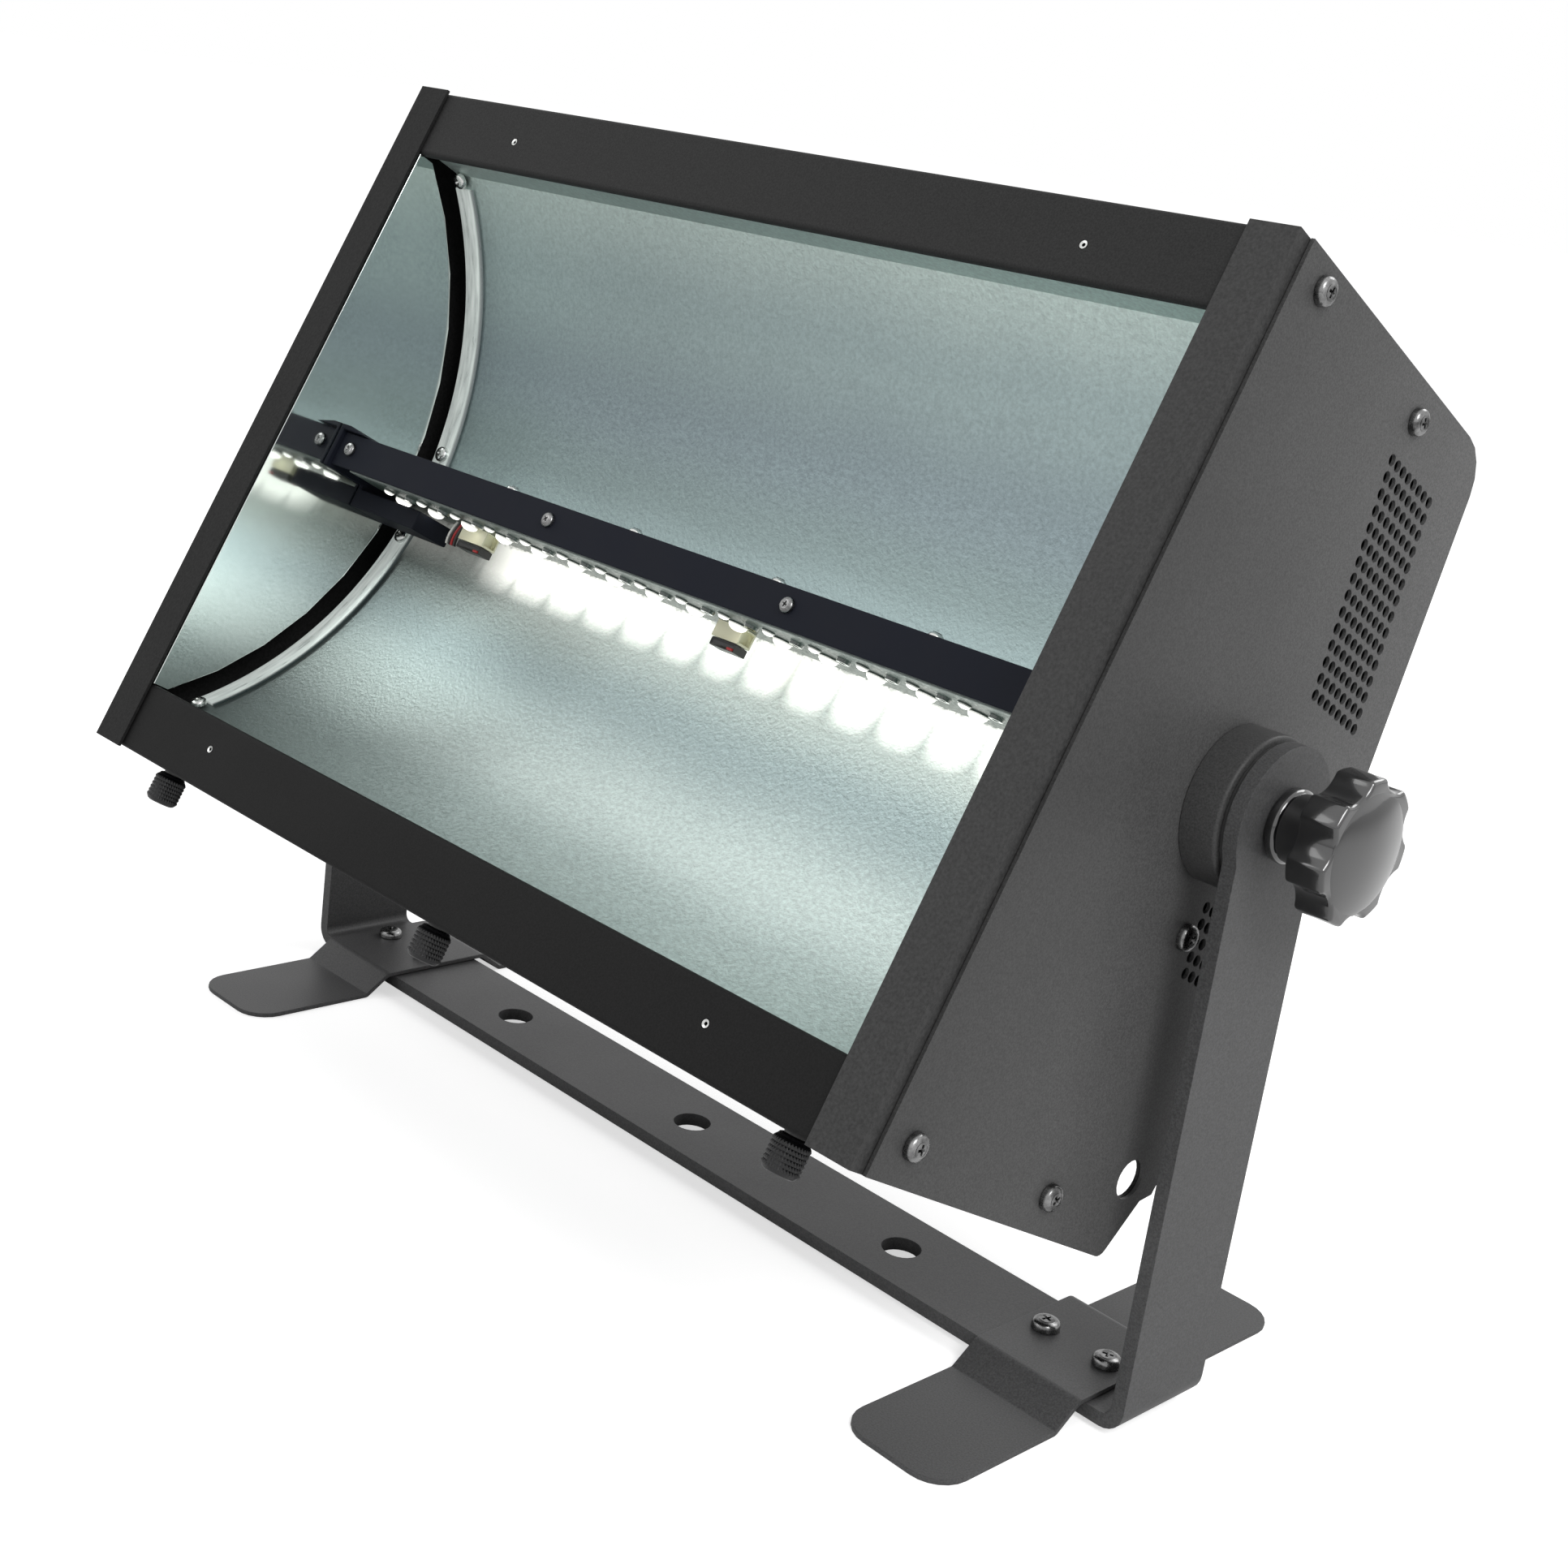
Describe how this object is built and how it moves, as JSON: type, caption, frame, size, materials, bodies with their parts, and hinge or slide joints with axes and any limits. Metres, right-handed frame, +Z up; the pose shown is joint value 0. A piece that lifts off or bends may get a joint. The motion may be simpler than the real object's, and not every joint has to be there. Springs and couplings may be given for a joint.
{
  "type": "cyclorama light",
  "caption": "Wide LED reflector floor light with a lamp bar across a curved reflector, tilting in a flat-bar yoke on splayed feet, for washing a stage backdrop",
  "frame": {"origin": "on the floor, under the middle of the yoke, on the axis of the middle hole in the base bar", "axes": "+X to the right seen from the front, along the tilt axis; +Y to the back, away from the light opening; +Z up"},
  "size_m": [0.499, 0.2444, 0.3612],
  "materials": {
    "powder_coat": "dark grey powder coat with a fine grain",
    "base_coat": "dark grey powder coat, slightly lighter",
    "black_sheet": "satin black coat",
    "black_plastic": "glossy black plastic",
    "socket_plastic": "matt black plastic",
    "black_steel": "black oxide on steel",
    "screw_steel": "plated steel",
    "reflector": "satin hammered aluminium",
    "bare_aluminium": "bare aluminium",
    "mirror_sheet": "bright rolled aluminium",
    "lamp_board": "white lamp board",
    "green_board": "green circuit board",
    "display_window": "dark clear window",
    "washer_fibre": "black fibre",
    "fan_plastic": "black fan plastic"
  },
  "bodies": {
    "yoke": {"yoke": "base_coat", "foot_left": "base_coat", "foot_right": "base_coat", "foot_screw_left_inner": "screw_steel", "foot_screw_left_outer": "screw_steel", "foot_screw_right_inner": "screw_steel", "foot_screw_right_outer": "screw_steel"},
    "head": {"bar_bracket_left": "black_sheet", "bar_bracket_right": "black_sheet", "bar_shield": "black_sheet", "bottom_cover": "powder_coat", "control_board": "green_board", "data_in": "socket_plastic", "data_out": "socket_plastic", "display": "display_window", "fan_frame": "fan_plastic", "friction_washer_left": "washer_fibre", "friction_washer_right": "washer_fibre", "fuse_holder": "black_plastic", "heat_sink": "bare_aluminium", "led_board": "lamp_board", "mirror_wall_left": "mirror_sheet", "mirror_wall_right": "mirror_sheet", "power_inlet": "socket_plastic", "power_outlet": "socket_plastic", "power_supply": "bare_aluminium", "rear_panel": "powder_coat", "reflector_lower": "reflector", "reflector_upper": "reflector", "rib_lower_left": "reflector", "rib_lower_right": "reflector", "rib_upper_left": "reflector", "rib_upper_right": "reflector", "side_cover_left": "powder_coat", "side_cover_right": "powder_coat", "side_frame_left": "powder_coat", "side_frame_right": "powder_coat", "side_screw_left_bottom_front": "screw_steel", "side_screw_left_bottom_rear": "screw_steel", "side_screw_left_middle": "screw_steel", "side_screw_left_top_front": "screw_steel", "side_screw_left_top_rear": "screw_steel", "side_screw_right_bottom_front": "screw_steel", "side_screw_right_bottom_rear": "screw_steel", "side_screw_right_middle": "screw_steel", "side_screw_right_top_front": "screw_steel", "side_screw_right_top_rear": "screw_steel", "tilt_boss_left": "powder_coat", "tilt_boss_right": "powder_coat", "top_cover": "powder_coat"},
    "tilt_knob_left": {"tilt_knob_left": "black_plastic"},
    "tilt_knob_right": {"tilt_knob_right": "black_plastic"},
    "thumb_screw_left": {"thumb_screw_left": "black_steel"},
    "thumb_screw_middle": {"thumb_screw_middle": "black_steel"},
    "thumb_screw_right": {"thumb_screw_right": "black_steel"},
    "fan_rotor": {"fan_rotor": "fan_plastic"},
    "button_menu": {"button_menu": "black_plastic"},
    "button_up": {"button_up": "black_plastic"},
    "button_down": {"button_down": "black_plastic"},
    "button_enter": {"button_enter": "black_plastic"}
  },
  "joints": [
    {"name": "head_tilt", "type": "hinge", "parent": "yoke", "child": "head", "pos_m": [0, 0, 0.19804], "axis": [1, 0, 0], "range_deg": [-90, 115]},
    {"name": "tilt_knob_left_turn", "type": "hinge", "parent": "head", "child": "tilt_knob_left", "pos_m": [-0.2196, 0, 0.19804], "axis": [-1, 0, 0], "continuous": true},
    {"name": "tilt_knob_right_turn", "type": "hinge", "parent": "head", "child": "tilt_knob_right", "pos_m": [0.2196, 0, 0.19804], "axis": [1, 0, 0], "continuous": true},
    {"name": "thumb_screw_left_turn", "type": "hinge", "parent": "head", "child": "thumb_screw_left", "pos_m": [-0.166, -0.12713, 0.10778], "axis": [0, 0.4462, 0.8949], "continuous": true},
    {"name": "thumb_screw_middle_turn", "type": "hinge", "parent": "head", "child": "thumb_screw_middle", "pos_m": [0, -0.12713, 0.10778], "axis": [0, 0.4462, 0.8949], "continuous": true},
    {"name": "thumb_screw_right_turn", "type": "hinge", "parent": "head", "child": "thumb_screw_right", "pos_m": [0.166, -0.12713, 0.10778], "axis": [0, 0.4462, 0.8949], "continuous": true},
    {"name": "fan_spin", "type": "hinge", "parent": "head", "child": "fan_rotor", "pos_m": [0.092, 0.07334, 0.23925], "axis": [0, 0.9609, -0.277], "continuous": true},
    {"name": "button_menu_press", "type": "slide", "parent": "head", "child": "button_menu", "axis": [0, -0.8544, 0.5196], "range_m": [0, 0.001], "stiffness_N_per_m": 400},
    {"name": "button_up_press", "type": "slide", "parent": "head", "child": "button_up", "axis": [0, -0.8544, 0.5196], "range_m": [0, 0.001], "stiffness_N_per_m": 400},
    {"name": "button_down_press", "type": "slide", "parent": "head", "child": "button_down", "axis": [0, -0.8544, 0.5196], "range_m": [0, 0.001], "stiffness_N_per_m": 400},
    {"name": "button_enter_press", "type": "slide", "parent": "head", "child": "button_enter", "axis": [0, -0.8544, 0.5196], "range_m": [0, 0.001], "stiffness_N_per_m": 400}
  ]
}
